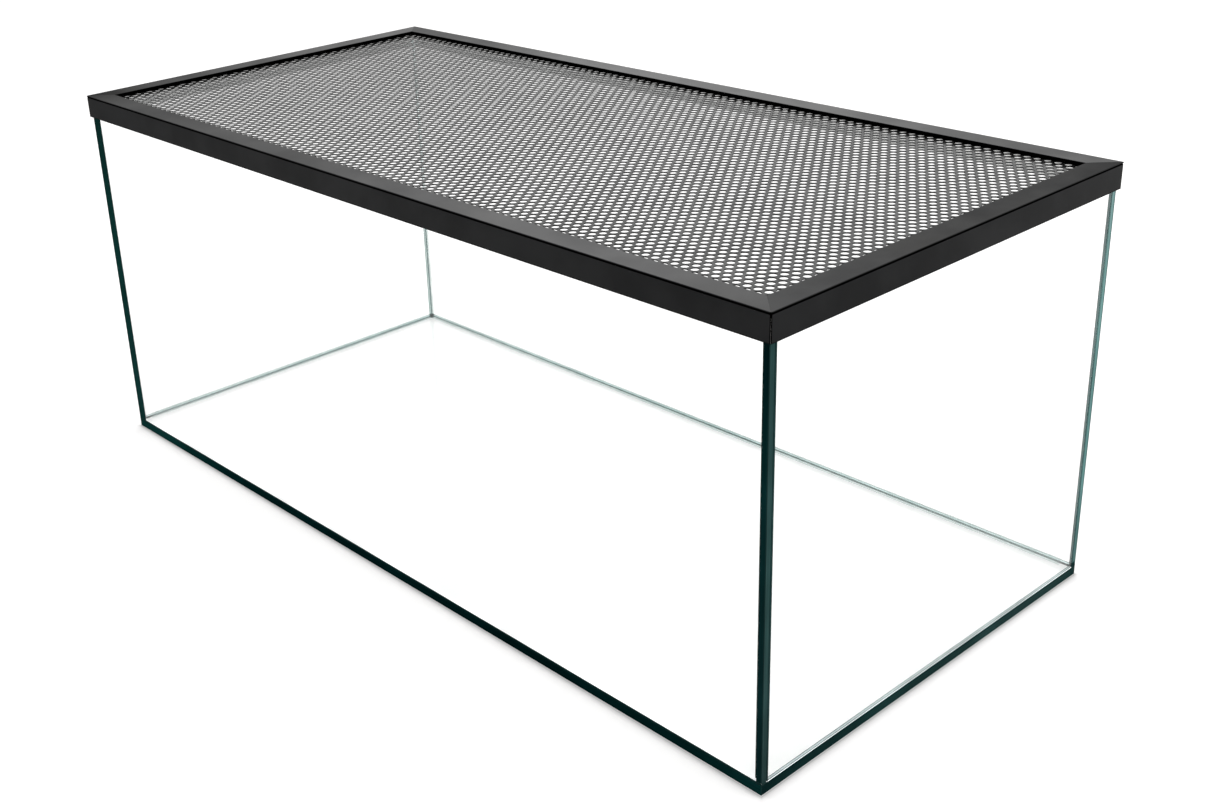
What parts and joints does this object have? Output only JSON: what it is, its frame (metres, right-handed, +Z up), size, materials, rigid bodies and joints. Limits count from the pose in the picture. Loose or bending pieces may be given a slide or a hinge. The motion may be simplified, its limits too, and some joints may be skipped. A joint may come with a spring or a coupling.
{
  "type": "rodent terrarium",
  "caption": "Rectangular glass terrarium for small rodents, with a lift-off black framed lid of perforated metal sheet.",
  "frame": {"origin": "middle of the underside of the base pane, on the surface that the tank stands on", "axes": "+X along the long side, +Y from the front pane to the back pane, +Z up"},
  "size_m": [0.8, 0.38, 0.333],
  "materials": {
    "clear_glass": "clear float glass with ground edges",
    "silicone": "translucent cured silicone, smoothed",
    "black_rail": "black powder coat, fine and matt",
    "sheet_metal": "galvanised, perforated",
    "rest_rubber": "soft closed-cell strip",
    "key_metal": "sawn extrusion",
    "screw_steel": "zinc plated"
  },
  "bodies": {
    "tank": {"base_glass": "clear_glass", "front_glass": "clear_glass", "back_glass": "clear_glass", "left_glass": "clear_glass", "right_glass": "clear_glass", "floor_seam_front": "silicone", "floor_seam_back": "silicone", "floor_seam_left": "silicone", "floor_seam_right": "silicone", "corner_seam_front_left": "silicone", "corner_seam_front_right": "silicone", "corner_seam_back_left": "silicone", "corner_seam_back_right": "silicone"},
    "lid": {"lid_rail_front": "black_rail", "lid_rail_back": "black_rail", "lid_rail_left": "black_rail", "lid_rail_right": "black_rail", "perforated_sheet": "sheet_metal", "rest_strip_front": "rest_rubber", "rest_strip_back": "rest_rubber", "rest_strip_left": "rest_rubber", "rest_strip_right": "rest_rubber", "corner_key_front_left": "key_metal", "corner_key_front_right": "key_metal", "corner_key_back_left": "key_metal", "corner_key_back_right": "key_metal", "corner_screws": "screw_steel"}
  },
  "joints": [
    {"name": "lid_lift", "type": "slide", "parent": "tank", "child": "lid", "axis": [0, 0, 1], "range_m": [0, 0.12]}
  ]
}
